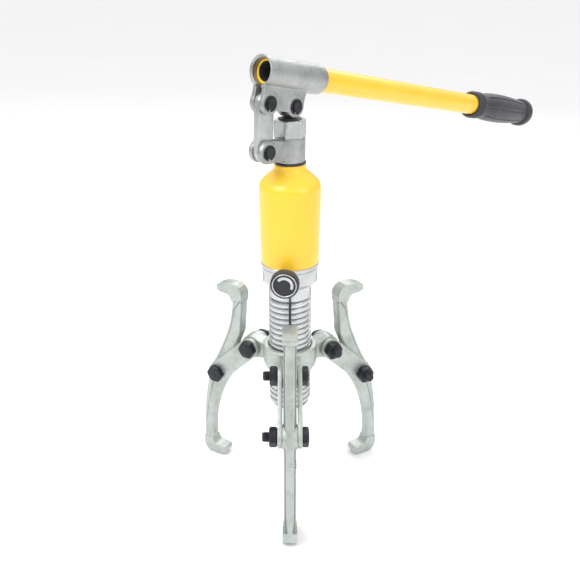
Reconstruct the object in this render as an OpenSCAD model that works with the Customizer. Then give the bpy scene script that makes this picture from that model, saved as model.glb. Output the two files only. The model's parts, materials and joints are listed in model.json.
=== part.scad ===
// Three-claw hydraulic gear puller with its own hand pump, millimetres.
// Z is the ram axis and points up; the tip of the ram nose at rest is z = 0.
// The front claw points to -Y and the pump handle leaves between +X and +Y.

/* [Cylinder] */
// outside diameter of the threaded sleeve
sleeve_d = 43; // [41:0.5:51]
// thread pitch of the sleeve
thread_pitch = 6; // [5:0.5:8]
// length of the sleeve below the block
sleeve_len = 140.5; // [132:0.5:170]
// stroke of the ram
ram_stroke = 50; // [30:1:55]
// diameter of the ram rod
ram_d = 26; // [22:0.5:26]

/* [Reservoir and block] */
// diameter of the oil reservoir at its foot
res_d = 57; // [54:0.5:64]
// height of the oil reservoir up to its shoulder
res_h = 78; // [66:1:100]
// diameter of the release knob
knob_d = 27.5; // [22:0.5:32]
// turn of the release valve away from the front claw, degrees
valve_turn = -6.5; // [-15:0.5:15]

/* [Pump head] */
// turn of the pump head at rest, degrees from +X
head_turn = 45; // [20:1:70]
// diameter of the pump plunger
plunger_d = 12; // [10:0.5:14]
// pivot spacing in the socket between link and plunger
lever_span = 32.3; // [31:0.1:34]
// pivot spacing of the pump link
link_len = 42.6; // [41:0.1:46]
// droop of the handle at rest, degrees
lever_tilt = 12.5; // [10:0.5:14]

/* [Handle] */
// outside diameter of the handle tube
tube_d = 22.4; // [20:0.2:24]
// length of the handle tube
tube_len = 466; // [380:5:600]
// length of the rubber grip
grip_len = 135; // [105:1:165]
// largest diameter of the rubber grip
grip_d = 34.5; // [33.5:0.5:40]

/* [Claws] */
// thickness of lugs and claws at their bosses
claw_t = 14.6; // [12:0.2:18]
// thickness of one pull plate
plate_t = 4.5; // [3.5:0.1:6]
// pin spacing of a pull plate
plate_len = 60; // [54:1:72]
// slope of the pull plates at rest, degrees below level
plate_slope = 44.5; // [40:0.5:50]
// radius of the inner pins from the ram axis
lug_r = 43.5; // [42:0.5:50]
// diameter of the pull bolts
bolt_d = 10; // [8:0.5:11]

/* [Hidden] */
$fn = 96;
fit = 0.05;
seat_gap = 0.25;
sleeve_r = sleeve_d / 2;
z_sleeve = 9;
z_block = z_sleeve + sleeve_len;
z_res = z_block + 23;
z_shoulder = z_res + res_h;
z_neck = z_shoulder + 19.5;
z_seat = 53;
lug_z = z_seat + 13.5;
claw_r = lug_r + plate_len * cos(plate_slope);
claw_z = lug_z - plate_len * sin(plate_slope);
plate_in = claw_t / 2 + seat_gap;
plate_out = plate_in + plate_t;
claw_az = [0, 120, -120];
res_r = res_d / 2;
z_valve = z_res - 6.5;
valve_seat = sleeve_r + 0.5;
link_foot_r = 34;
link_foot_z = z_neck + 16.8;
link_t = 6;
lug_gap = 3.4;
lug_out = 8;
ear_out = 8.4;
seal_h = 2.2;
ear_r = 10.8;
pin_r = 5;
link_reach = link_foot_r - lever_span * cos(lever_tilt);
link_rise = sqrt(link_len * link_len - link_reach * link_reach);
z_lever = link_foot_z + link_rise - lever_span * sin(lever_tilt);
link_lean = asin(link_reach / link_len);
tube_v = 26;
tube_u = -36;
socket_r = tube_d / 2 + 2.6;
socket_start = -41;
socket_end = 33;
grip_u = tube_u + tube_len - grip_len + 6;

// a flat outline in radius and height, stood up and given a thickness either side of y = mid
module slab(t, mid = 0)
{
    translate([0, -mid, 0])
        rotate([90, 0, 0])
            linear_extrude(height = t, center = true)
                children();
}

// turns a part drawn along +X to the side of one claw
module at_claw(i)
{
    rotate([0, 0, claw_az[i] - 90])
        children();
}

module at_head()
{
    rotate([0, 0, head_turn])
        children();
}

// the frame of the lever: origin at the plunger pin, +X along the handle
module at_lever()
{
    at_head()
        translate([0, 0, z_lever])
            rotate([0, lever_tilt, 0])
                children();
}

module at_valve()
{
    rotate([0, 0, valve_turn - 90])
        translate([0, 0, z_valve])
            rotate([0, 90, 0])
                children();
}

// ---------------------------------------------------------------- cylinder and reservoir
module cylinder_block()
{
    color("silver")
        difference()
        {
            union()
            {
                difference()
                {
                    union()
                    {
                        translate([0, 0, z_block])
                            cylinder(h = 5.4, r1 = res_r - 5.5, r2 = res_r);
                        translate([0, 0, z_block + 5.4])
                            cylinder(h = 17.6, r = res_r);
                        translate([0, 0, z_res])
                            cylinder(h = 10, r = res_r - 3.2);
                        rotate([0, 0, valve_turn - 90])
                            translate([res_r - 4, 0, z_valve])
                                rotate([0, 90, 0])
                                    cylinder(h = 6, r = z_res - z_valve - 0.1);
                    }
                    translate([0, 0, z_block - 1])
                        cylinder(h = 17.4, r = sleeve_r - 2.3);
                }
                translate([0, 0, z_block + 3])
                    cylinder(h = 16, r = 4);
            }
            translate([0, 0, z_res + 2])
                cylinder(h = 9, r = 6);
            at_valve()
                translate([0, 0, valve_seat - 1])
                    cylinder(h = 30, r = 5 + fit);
            for (turn = [0, 180])
                rotate([0, 0, turn])
                    translate([res_r - 1.6, -40, z_block + 5.4])
                        cube([10, 80, 13.6]);
        }
}

module threaded_sleeve()
{
    turns = floor((sleeve_len - 20) / thread_pitch);
    root = sleeve_r - 2;
    color("dimgray")
        difference()
        {
            union()
            {
                translate([0, 0, z_sleeve])
                    cylinder(h = 6.5, r1 = sleeve_r - 4.5, r2 = sleeve_r - 0.3);
                translate([0, 0, z_sleeve + 6.5])
                    cylinder(h = sleeve_len - 6.5, r = root);
                translate([0, 0, z_sleeve + sleeve_len - 13])
                    cylinder(h = 13, r = sleeve_r);
                for (i = [0 : turns - 1])
                    translate([0, 0, z_sleeve + 6.5 + i * thread_pitch])
                        cylinder(h = thread_pitch * 0.62, r = sleeve_r);
                translate([0, 0, z_block])
                    cylinder(h = 16, r = sleeve_r - 2.4);
            }
            translate([0, 0, z_sleeve + 8])
                cylinder(h = sleeve_len + 20, r = ram_d / 2 + 1.5);
            translate([0, 0, z_sleeve - 1])
                cylinder(h = 10, r = ram_d / 2 + 2.6);
        }
}

module sleeve_end_ring()
{
    color("silver")
        translate([0, 0, z_sleeve])
            difference()
            {
                cylinder(h = 8, r = ram_d / 2 + 2.5);
                translate([0, 0, -1])
                    cylinder(h = 10, r = ram_d / 2 + fit);
            }
}

module reservoir_shell()
{
    color("gold")
        rotate_extrude()
            polygon([[res_r, z_res], [res_r + 1, z_shoulder - 6], [res_r + 0.6, z_shoulder - 1],
                [res_r - 1.2, z_shoulder + 3], [res_r - 4.5, z_shoulder + 6.6],
                [19.5, z_shoulder + 10.2], [16.3, z_shoulder + 12.5], [15.2, z_shoulder + 15],
                [15, z_neck], [11 + fit, z_neck], [11 + fit, z_shoulder + 6],
                [res_r - 7, z_shoulder - 1], [res_r - 3, z_shoulder - 6], [res_r - 3, z_res]]);
}

module delivery_tube()
{
    color("silver")
        translate([0, 0, z_res + 2])
            difference()
            {
                cylinder(h = res_h - 10, r = 5.9);
                translate([0, 0, -1])
                    cylinder(h = res_h + 10, r = 3);
            }
}

// ---------------------------------------------------------------- release valve
module valve_spindle()
{
    color("silver")
        at_valve()
            union()
            {
                translate([0, 0, valve_seat])
                    cylinder(h = 3, r1 = 1.5, r2 = 5);
                translate([0, 0, valve_seat + 3])
                    cylinder(h = 36 - valve_seat, r = 5);
                translate([0, 0, 39])
                    cylinder(h = 5, r = 3);
            }
}

module valve_knob()
{
    color("dimgray")
        at_valve()
            difference()
            {
                union()
                {
                    translate([0, 0, 36])
                        cylinder(h = 3, r1 = knob_d / 2 - 3, r2 = knob_d / 2);
                    translate([0, 0, 39])
                        cylinder(h = 7.5, r = knob_d / 2);
                    translate([0, 0, 46.5])
                        cylinder(h = 1, r1 = knob_d / 2, r2 = knob_d / 2 - 1);
                }
                translate([0, 0, 35])
                    cylinder(h = 4, r = 5);
                translate([0, 0, 38])
                    cylinder(h = 6, r = 3);
                translate([0, 0, 45.5])
                    cylinder(h = 3, r = knob_d / 2 - 2);
            }
}

module knob_bezel()
{
    color("silver")
        at_valve()
            translate([0, 0, 45.5])
                difference()
                {
                    cylinder(h = 2.2, r = knob_d / 2 - 2);
                    translate([0, 0, -1])
                        cylinder(h = 5, r = knob_d / 2 - 3.4);
                }
}

module knob_insert()
{
    color("darkslategray")
        at_valve()
            translate([0, 0, 45.5])
                cylinder(h = 1.6, r = knob_d / 2 - 3.4);
}

// ---------------------------------------------------------------- ram
module ram_piston()
{
    color("silver")
        difference()
        {
            union()
            {
                translate([0, 0, 10])
                    cylinder(h = z_block - 14, r = ram_d / 2);
                translate([0, 0, z_block - 8])
                    cylinder(h = 4, r = ram_d / 2 + 1.1);
                translate([0, 0, z_block - 1])
                    cylinder(h = 4, r = ram_d / 2 + 1.1);
                translate([0, 0, z_block - 5])
                    cylinder(h = 5, r = ram_d / 2 - 1);
            }
            translate([0, 0, 30])
                cylinder(h = z_block, r = 8.5);
            translate([0, 0, 5])
                cylinder(h = 19, r = 5);
        }
    color("silver")
        translate([0, 0, 29])
            cylinder(h = 12, r = 4);
}

module ram_nose()
{
    color("dimgray")
        union()
        {
            cylinder(h = 7, r1 = 1.2, r2 = 8);
            translate([0, 0, 7])
                cylinder(h = 3, r = 8);
            translate([0, 0, 9])
                cylinder(h = 15, r = 5);
        }
}

module piston_seal()
{
    color("black")
        translate([0, 0, z_block - 4])
            difference()
            {
                cylinder(h = 3, r = ram_d / 2 + 1.4);
                translate([0, 0, -1])
                    cylinder(h = 6, r = ram_d / 2 - 1);
            }
}

module return_spring()
{
    wire = 1.6;
    coils = floor((z_block - 22) / (wire * 0.98));
    color("gray")
        for (i = [0 : coils - 1])
            translate([0, 0, 30 + wire / 2 + i * wire * 0.98])
                rotate_extrude()
                    translate([5.9, 0])
                        circle(d = wire);
}

// ---------------------------------------------------------------- pump head
module pump_body()
{
    color("silver")
        difference()
        {
            union()
            {
                translate([0, 0, z_neck + seal_h])
                    cylinder(h = 24.6 - seal_h, r = 14.2);
                translate([0, 0, z_shoulder - 4])
                    cylinder(h = z_neck - z_shoulder + 8, r = 11);
                at_head()
                    for (side = [-1, 1])
                        slab(ear_out - lug_gap, side * (ear_out + lug_gap) / 2)
                            union()
                            {
                                translate([-link_foot_r, link_foot_z])
                                    circle(r = ear_r);
                                polygon([[-link_foot_r, link_foot_z + ear_r], [-8, z_neck + 23],
                                    [-8, z_neck + 4.4], [-link_foot_r, link_foot_z - ear_r]]);
                            }
                translate([0, 0, z_neck + 24])
                    cylinder(h = 5, r = 11);
            }
            translate([0, 0, z_shoulder + 1])
                cylinder(h = 80, r = plunger_d / 2 + fit);
            translate([0, 0, z_shoulder - 5])
                cylinder(h = 8, r = 3);
            at_head()
                slab(30)
                    translate([-link_foot_r, link_foot_z])
                        circle(r = pin_r);
            translate([0, 0, z_shoulder - 1])
                difference()
                {
                    cylinder(h = 1.4, r = 15);
                    translate([0, 0, -1])
                        cylinder(h = 4, r = 9.8);
                }
        }
}

module neck_seal()
{
    color("black")
        translate([0, 0, z_neck])
            difference()
            {
                cylinder(h = seal_h, r = 15.2);
                translate([0, 0, -1])
                    cylinder(h = 6, r = 11);
            }
}

module swivel_clip()
{
    color("dimgray")
        translate([0, 0, z_shoulder - 1])
            difference()
            {
                cylinder(h = 1.4, r = 13.5);
                translate([0, 0, -1])
                    cylinder(h = 4, r = 9.8);
                translate([0, -3, -1])
                    cube([20, 6, 4]);
            }
}

module gland_nut()
{
    color("silver")
        translate([0, 0, z_neck + 24.6])
            difference()
            {
                intersection()
                {
                    rotate([0, 0, 14])
                        cylinder(h = 16, d = 26.4 / cos(30), $fn = 6);
                    union()
                    {
                        cylinder(h = 14.4, r = 15.4);
                        translate([0, 0, 14.4])
                            cylinder(h = 1.6, r1 = 15.4, r2 = 13);
                    }
                }
                translate([0, 0, -1])
                    cylinder(h = 5.4, r = 11);
                translate([0, 0, -1])
                    cylinder(h = 20, r = plunger_d / 2 + 0.3);
            }
}

module gland_wiper()
{
    color("black")
        translate([0, 0, z_neck + 40.6])
            difference()
            {
                cylinder(h = 1.2, r = 11);
                translate([0, 0, -1])
                    cylinder(h = 4, r = plunger_d / 2 + 0.3);
            }
}

module plunger()
{
    color("darkslategray")
        difference()
        {
            union()
            {
                translate([0, 0, z_shoulder + 4])
                    cylinder(h = z_lever - 14.4 - z_shoulder, r = plunger_d / 2);
                at_head()
                    slab(link_t)
                        union()
                        {
                            translate([0, z_lever])
                                circle(r = 8.5);
                            translate([-5.2, z_lever - 11])
                                square([10.4, 10]);
                        }
            }
            at_head()
                slab(30)
                    translate([0, z_lever])
                        circle(r = pin_r + fit);
        }
}

module pump_link()
{
    color("silver")
        at_head()
            translate([-link_foot_r, 0, link_foot_z])
                rotate([0, link_lean, 0])
                    slab(link_t)
                        difference()
                        {
                            union()
                            {
                                circle(r = 9.2);
                                translate([-9.2, 0])
                                    square([18.4, link_len]);
                                translate([0, link_len])
                                    circle(r = 9.2);
                            }
                            circle(r = pin_r + 1.7);
                            translate([0, link_len])
                                circle(r = pin_r + fit);
                        }
}

module link_pin()
{
    color("black")
        at_head()
            slab(2 * ear_out + 5)
                translate([-link_foot_r, link_foot_z])
                    circle(r = pin_r);
}

// a ring clip standing on a pin at (u, v), open towards the low side
module clip(u, v, face)
{
    for (side = [-1, 1])
        slab(1.2, side * (face + 0.6))
            translate([u, v])
                difference()
                {
                    circle(r = 6.9);
                    circle(r = pin_r);
                    translate([-1.6, -9])
                        square([3.2, 7]);
                }
}

module link_pin_clips()
{
    color("black")
        at_head()
            clip(-link_foot_r, link_foot_z, ear_out);
}

module lever_socket()
{
    color("silver")
        at_lever()
            difference()
            {
                union()
                {
                    translate([socket_start, 0, tube_v])
                        rotate([0, 90, 0])
                            cylinder(h = socket_end - socket_start - 4, r = socket_r);
                    translate([socket_end - 4, 0, tube_v])
                        rotate([0, 90, 0])
                            cylinder(h = 4, r1 = socket_r, r2 = socket_r - 1.6);
                    for (side = [-1, 1])
                        slab(lug_out - lug_gap, side * (lug_out + lug_gap) / 2)
                            union()
                            {
                                circle(r = 10);
                                translate([-lever_span, 0])
                                    circle(r = 10);
                                polygon([[-lever_span - 10, 0], [-lever_span - 9.2, 22], [12, 22],
                                    [10, 9], [10, 0], [0, 0], [-8, -5.4], [-lever_span + 8, -5.4],
                                    [-lever_span, 0]]);
                            }
                }
                translate([-50, 0, tube_v])
                    rotate([0, 90, 0])
                        cylinder(h = 110, r = tube_d / 2 + fit);
                slab(40)
                    circle(r = pin_r);
                slab(40)
                    translate([-lever_span, 0])
                        circle(r = pin_r);
                translate([socket_start - 10, -lug_gap, 0])
                    cube([18, 2 * lug_gap, 20]);
            }
}

module lever_pins()
{
    color("black")
        at_lever()
            for (u = [0, -lever_span])
                slab(2 * lug_out + 5)
                    translate([u, 0])
                        circle(r = pin_r);
}

module lever_pin_clips()
{
    color("black")
        at_lever()
            for (u = [0, -lever_span])
                clip(u, 0, lug_out);
}

module handle_tube()
{
    color("gold")
        at_lever()
            translate([tube_u, 0, tube_v])
                rotate([0, 90, 0])
                    difference()
                    {
                        cylinder(h = tube_len, r = tube_d / 2);
                        translate([0, 0, -1])
                            cylinder(h = tube_len + 2, r = tube_d / 2 - 2.5);
                    }
}

module handle_grip()
{
    r = grip_d / 2;
    t = tube_d / 2;
    color("darkslategray")
        at_lever()
            translate([grip_u, 0, tube_v])
                rotate([0, 90, 0])
                    rotate_extrude()
                        polygon([[t, 0], [t + 3.4, 0], [r - 2, 2], [r - 1.6, 9], [r - 2.6, 14],
                            [r - 3.2, 20], [r - 1.2, 34], [r - 0.2, 52], [r - 0.4, 70],
                            [r - 2, grip_len - 30], [r - 2.6, grip_len - 17], [r - 0.2, grip_len - 15],
                            [r, grip_len - 9], [r - 2, grip_len - 4], [r - 7, grip_len - 0.8],
                            [0, grip_len], [0, grip_len - 5.5], [t, grip_len - 5.5]]);
}

// ---------------------------------------------------------------- yoke and claws
module yoke()
{
    rim = sleeve_r + 6.3;
    color("silver")
        difference()
        {
            union()
            {
                translate([0, 0, z_seat])
                    cylinder(h = 8, r1 = rim - 4.8, r2 = rim);
                translate([0, 0, z_seat + 8])
                    cylinder(h = 20, r = rim);
                for (i = [0 : 2])
                    at_claw(i)
                        slab(claw_t)
                            union()
                            {
                                translate([lug_r, lug_z])
                                    circle(r = 12.5);
                                polygon([[sleeve_r + 2, z_seat + 4], [lug_r - 3, lug_z - 12.1],
                                    [lug_r + 3, lug_z + 12.1], [lug_r - 8, lug_z + 9.6],
                                    [rim + 1, lug_z + 7.5], [sleeve_r + 2, lug_z + 8]]);
                            }
            }
            translate([0, 0, z_seat - 1])
                cylinder(h = 40, r = sleeve_r + 0.35);
            translate([0, 0, z_seat + 4 - fit])
                cylinder(h = 20 + 2 * fit, r = sleeve_r + 2 + fit);
            for (i = [0 : 2])
                at_claw(i)
                    slab(40)
                        translate([lug_r, lug_z])
                            circle(r = bolt_d / 2);
        }
}

// the threaded ring inside the yoke
module thread_bush()
{
    color("gray")
        translate([0, 0, z_seat + 4])
            difference()
            {
                cylinder(h = 20, r = sleeve_r + 2);
                translate([0, 0, -1])
                    cylinder(h = 22, r = sleeve_r + fit);
            }
}

// a hexagon bolt along the pin at (r, z): head on one side of its claw frame, end on the other
module hex_bolt(r, z, play)
{
    slab(2 * plate_out + 14.8, 7.4)
        translate([r, z])
            circle(d = bolt_d);
    slab(6.4, -plate_out - play - 3.2)
        translate([r, z])
            circle(d = 17 / cos(30), $fn = 6);
}

module hex_nut(r, z, play)
{
    slab(8, plate_out + play + 4)
        difference()
        {
            translate([r, z])
                circle(d = 17 / cos(30), $fn = 6);
            translate([r, z])
                circle(d = bolt_d);
        }
}

module lug_bolts()
{
    color("gray")
        for (i = [0 : 2])
            at_claw(i)
                hex_bolt(lug_r, lug_z, 0.1);
}

module lug_nuts()
{
    color("gray")
        for (i = [0 : 2])
            at_claw(i)
                hex_nut(lug_r, lug_z, 0.1);
}

module plate(i, side)
{
    color("silver")
        at_claw(i)
            slab(plate_t, side * (plate_in + plate_out) / 2)
                translate([lug_r, lug_z])
                    rotate([0, 0, -plate_slope])
                        difference()
                        {
                            union()
                            {
                                circle(r = 11);
                                translate([0, -11])
                                    square([plate_len, 22]);
                                translate([plate_len, 0])
                                    circle(r = 11);
                            }
                            circle(r = bolt_d / 2 + fit);
                            translate([plate_len, 0])
                                circle(r = bolt_d / 2);
                        }
}

// points from a up to but not including b, on an arc that bulges to the left of that line by sag
function bow(a, b, sag, steps = 6) = [for (i = [0 : steps - 1])
    let (t = i / steps, out = 4 * sag * t * (1 - t) / norm(b - a))
    a + t * (b - a) + out * [a[1] - b[1], b[0] - a[0]]];

// outline of a claw about its pin, radius to the right and height up
module claw_outline()
{
    waist = [-13.5, 59.5];
    back = [13.5, 0.5];
    heel = [26.4, -98];
    inside = [13.9, -97.5];
    elbow = [-10.2, -7];
    polygon(concat(
        [[-32.6, 97.7], [-31.3, 102.2], [-28, 106]],
        bow([-23.5, 109], [-4, 106.2], 1),
        [[-4, 106.2], [-1.6, 105], [-1, 102.4], [-1.8, 99.4], [-4.8, 97.6]],
        bow([-12.5, 97], [-18.2, 91], -1.5),
        bow([-18.2, 91], waist, -0.9),
        bow(waist, back, -1.5),
        bow(back, heel, 4.2, 9),
        [heel, [26.4, -105], [24.4, -111], [18.5, -116.2], [7.8, -116.2], [-0.6, -114.4]],
        [[-3.2, -111], [-3.6, -106.4], [-0.8, -104.5]],
        bow([8.4, -104.5], inside, -1.6, 4),
        bow(inside, elbow, -7.6, 12),
        bow(elbow, [-28.6, 52.7], -2.4, 8),
        [[-28.6, 52.7], [-31, 80]]));
}

module claw(i)
{
    color("darkseagreen")
        at_claw(i)
            translate([claw_r, 0, claw_z])
                difference()
                {
                    union()
                    {
                        slab(claw_t - 3.4)
                            claw_outline();
                        slab(claw_t - 1.6)
                            intersection()
                            {
                                claw_outline();
                                translate([-50, 6])
                                    square([90, 90]);
                            }
                        slab(claw_t)
                            circle(r = 12);
                        slab(claw_t)
                            intersection()
                            {
                                claw_outline();
                                union()
                                {
                                    translate([-50, 90])
                                        square([60, 40]);
                                    translate([-50, -130])
                                        square([90, 32]);
                                }
                            }
                    }
                    slab(40)
                        circle(r = bolt_d / 2 + fit);
                }
}

module claw_bolt(i)
{
    color("gray")
        at_claw(i)
            hex_bolt(claw_r, claw_z, 0);
}

module claw_nut(i)
{
    color("gray")
        at_claw(i)
            hex_nut(claw_r, claw_z, 0);
}

cylinder_block();
threaded_sleeve();
sleeve_end_ring();
reservoir_shell();
delivery_tube();
valve_spindle();
valve_knob();
knob_bezel();
knob_insert();
ram_piston();
ram_nose();
piston_seal();
return_spring();
pump_body();
neck_seal();
swivel_clip();
gland_nut();
gland_wiper();
link_pin();
link_pin_clips();
plunger();
pump_link();
lever_socket();
lever_pins();
lever_pin_clips();
handle_tube();
handle_grip();
thread_bush();
yoke();
lug_bolts();
lug_nuts();
plate(0, 1);  // front_plate_a
plate(0, -1);  // front_plate_b
claw_bolt(0);  // front_claw_bolt
claw_nut(0);  // front_claw_nut
claw(0);  // front_claw
plate(1, 1);  // right_plate_a
plate(1, -1);  // right_plate_b
claw_bolt(1);  // right_claw_bolt
claw_nut(1);  // right_claw_nut
claw(1);  // right_claw
plate(2, 1);  // left_plate_a
plate(2, -1);  // left_plate_b
claw_bolt(2);  // left_claw_bolt
claw_nut(2);  // left_claw_nut
claw(2);  // left_claw
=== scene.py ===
"""Looks of the three-claw hydraulic gear puller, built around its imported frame.

Everything is in the row frame: metres, +Z up the ram axis. Shapes are drawn in millimetres in a
local frame and placed with a matrix taken from the record's joints or a CAD node's box.
"""

import json
import math

import bmesh
import bpy
from mathutils import Matrix, Vector


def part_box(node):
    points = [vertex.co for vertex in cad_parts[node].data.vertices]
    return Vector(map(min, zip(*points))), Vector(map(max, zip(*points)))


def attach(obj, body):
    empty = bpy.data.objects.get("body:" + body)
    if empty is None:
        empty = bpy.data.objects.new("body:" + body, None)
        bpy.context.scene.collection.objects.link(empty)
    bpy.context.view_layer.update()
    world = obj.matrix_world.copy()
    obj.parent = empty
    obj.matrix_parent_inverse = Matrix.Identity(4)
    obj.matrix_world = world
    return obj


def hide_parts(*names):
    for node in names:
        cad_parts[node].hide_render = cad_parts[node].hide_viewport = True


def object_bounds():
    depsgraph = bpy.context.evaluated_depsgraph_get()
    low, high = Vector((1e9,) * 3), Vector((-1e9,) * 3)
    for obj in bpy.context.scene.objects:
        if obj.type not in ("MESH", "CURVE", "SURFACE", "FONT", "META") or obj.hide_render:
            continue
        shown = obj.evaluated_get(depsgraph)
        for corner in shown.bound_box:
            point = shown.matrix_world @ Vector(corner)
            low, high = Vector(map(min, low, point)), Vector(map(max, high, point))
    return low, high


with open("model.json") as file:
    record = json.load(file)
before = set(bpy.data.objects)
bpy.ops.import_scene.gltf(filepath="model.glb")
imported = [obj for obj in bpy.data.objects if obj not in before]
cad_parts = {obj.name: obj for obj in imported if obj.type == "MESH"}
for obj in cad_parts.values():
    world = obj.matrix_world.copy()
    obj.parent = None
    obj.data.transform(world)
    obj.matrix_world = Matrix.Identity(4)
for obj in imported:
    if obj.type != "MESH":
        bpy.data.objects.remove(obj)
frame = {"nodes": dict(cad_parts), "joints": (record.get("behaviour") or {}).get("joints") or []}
CAD_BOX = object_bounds()

MM = 0.001
TURN = 2 * math.pi
JOINTS = {joint["name"]: joint for joint in frame["joints"]}
SIDES = ("front", "right", "left")

# ------------------------------------------------------------------ places taken from the frame


def place_of(joint):
    """A hinge's point in the row frame."""
    return Vector(JOINTS[joint]["pos_m"])


def axis_of(joint):
    return Vector(JOINTS[joint]["axis"]).normalized()


def middle(node):
    """The middle of a CAD node's box."""
    low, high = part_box(node)
    return (low + high) / 2


def base(origin, x_axis, z_axis):
    """A matrix from local millimetres to the row frame: local X and Z along those directions."""
    x, z = x_axis.normalized(), z_axis.normalized()
    turn = Matrix((x, z.cross(x), z)).transposed().to_4x4()
    return Matrix.Translation(origin) @ turn @ Matrix.Scale(MM, 4)


def bottom(node):
    """The height of a CAD node's lowest point, in millimetres."""
    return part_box(node)[0].z / MM


def top(node):
    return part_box(node)[1].z / MM


def radius(node):
    """Half the width of a CAD node along X, in millimetres."""
    low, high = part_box(node)
    return (high.x - low.x) / 2 / MM


def local_box(node, place):
    """The corners of a CAD node's box in a local frame, in millimetres."""
    back = place.inverted()
    obj = frame["nodes"][node]
    points = [back @ (obj.matrix_world @ corner.co) for corner in obj.data.vertices]
    low = Vector([min(point[i] for point in points) for i in range(3)])
    high = Vector([max(point[i] for point in points) for i in range(3)])
    return low, high


UP = Vector((0, 0, 1))
AXIS = base(Vector((0, 0, 0)), Vector((1, 0, 0)), UP)

# pump head: local X along the handle on plan, local Z towards the near side of the lugs
NEAR = axis_of("lever_pump")
OUTWARD = UP.cross(NEAR).normalized()
PLUNGER_PIN = place_of("lever_pump")
LINK_TOP = place_of("link_swing")
LINK_FOOT = middle("link_pin")
HANDLE = axis_of("handle_slide")
HEAD = base(Vector((0, 0, 0)), OUTWARD, NEAR)
LEVER = base(PLUNGER_PIN, HANDLE, NEAR)
LINK = base(LINK_FOOT, (LINK_TOP - LINK_FOOT).cross(NEAR), NEAR)
SPAN = (PLUNGER_PIN - LINK_TOP).length / MM
LINK_LENGTH = (LINK_TOP - LINK_FOOT).length / MM

# release valve: local Z out of the block
VALVE = base(place_of("valve_turn"), UP, axis_of("valve_turn"))


def claw_frame(side):
    """Local X away from the ram axis and Y up, with the origin at the claw's pin."""
    pin = place_of(side + "_claw_swing")
    away = Vector((pin.x, pin.y, 0))
    return base(pin, away, away.cross(UP))


def lug_frame(side):
    pin = place_of(side + "_plate_swing")
    away = Vector((pin.x, pin.y, 0))
    return base(pin, away, away.cross(UP))


# ------------------------------------------------------------------ mesh tools


def arc(centre, size, start, end, steps=12):
    """Points on a circle between two angles in degrees."""
    points = []
    for i in range(steps + 1):
        a = math.radians(start + (end - start) * i / steps)
        points.append((centre[0] + size * math.cos(a), centre[1] + size * math.sin(a)))
    return points


def bow(start, end, sag, steps=8):
    """Points from start to just before end on an arc that bulges to the left by sag."""
    points = []
    dx, dy = end[0] - start[0], end[1] - start[1]
    length = math.hypot(dx, dy)
    for i in range(steps):
        t = i / steps
        out = 4 * sag * t * (1 - t) / length
        points.append((start[0] + dx * t - dy * out, start[1] + dy * t + dx * out))
    return points


def softened(points, size, closed=True, steps=3):
    """The same outline with every corner rounded by about size."""
    out = []
    count = len(points)
    for i, here in enumerate(points):
        if not closed and i in (0, count - 1):
            out.append(here)
            continue
        here = Vector(here)
        before, after = Vector(points[i - 1]), Vector(points[(i + 1) % count])
        reach_in = min(size, (before - here).length * 0.45)
        reach_out = min(size, (after - here).length * 0.45)
        first = here + (before - here).normalized() * reach_in
        last = here + (after - here).normalized() * reach_out
        for k in range(steps + 1):
            t = k / steps
            point = first * (1 - t) ** 2 + here * 2 * t * (1 - t) + last * t * t
            out.append((point.x, point.y))
    return out


def mesh_object(name, bm):
    """A smooth-shaded object from a bmesh, with its sharp edges kept."""
    bmesh.ops.recalc_face_normals(bm, faces=bm.faces)
    mesh = bpy.data.meshes.new(name)
    bm.to_mesh(mesh)
    bm.free()
    mesh.shade_smooth()
    mesh.set_sharp_from_angle(angle=math.radians(32))
    obj = bpy.data.objects.new(name, mesh)
    bpy.context.scene.collection.objects.link(obj)
    return obj


def add_turned(bm, profile, place, segments=96, limit=None, columns=None):
    """Adds a turned solid: profile is (radius, height) from bottom to top along local Z.

    limit(angle) caps the radius, for hexagons and flats. columns are the angles used.
    """
    angles = columns or [TURN * i / segments for i in range(segments)]
    rings = []
    for r, z in profile:
        if r < 1e-6:
            rings.append([bm.verts.new(place @ Vector((0, 0, z)))])
            continue
        ring = []
        for a in angles:
            size = min(r, limit(a)) if limit else r
            ring.append(bm.verts.new(place @ Vector((size * math.cos(a), size * math.sin(a), z))))
        rings.append(ring)
    count = len(angles)
    pairs = list(zip(rings, rings[1:]))
    if profile[0][0] > 1e-6:
        pairs.append((rings[-1], rings[0]))
    for low, high in pairs:
        for i in range(count):
            j = (i + 1) % count
            if len(low) == 1:
                bm.faces.new((low[0], high[i], high[j]))
            elif len(high) == 1:
                bm.faces.new((low[i], low[j], high[0]))
            else:
                bm.faces.new((low[i], low[j], high[j], high[i]))


def add_prism(bm, outline, low, high, place, edge=0.0, steps=2):
    """Adds an outline in local X and Y pushed from low to high along local Z, edges rounded by edge."""
    solid = bmesh.new()
    base_ring = [solid.verts.new((x, y, low)) for x, y in outline]
    top_ring = [solid.verts.new((x, y, high)) for x, y in outline]
    solid.faces.new(list(reversed(base_ring)))
    solid.faces.new(top_ring)
    for i in range(len(outline)):
        j = (i + 1) % len(outline)
        solid.faces.new((base_ring[i], base_ring[j], top_ring[j], top_ring[i]))
    bmesh.ops.recalc_face_normals(solid, faces=solid.faces)
    if edge:
        flat = [e for e in solid.edges if abs(e.verts[0].co.z - e.verts[1].co.z) < 1e-6]
        bmesh.ops.bevel(solid, geom=flat, offset=edge, segments=steps, profile=0.5, affect="EDGES",
                        clamp_overlap=True)
    solid.transform(place)
    part = bpy.data.meshes.new("part")
    solid.to_mesh(part)
    solid.free()
    bm.from_mesh(part)
    bpy.data.meshes.remove(part)


def evaluated(obj):
    """obj with its modifiers applied."""
    mesh = bpy.data.meshes.new_from_object(obj.evaluated_get(bpy.context.evaluated_depsgraph_get()))
    obj.modifiers.clear()
    old = obj.data
    obj.data = mesh
    bpy.data.meshes.remove(old)
    return obj


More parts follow.
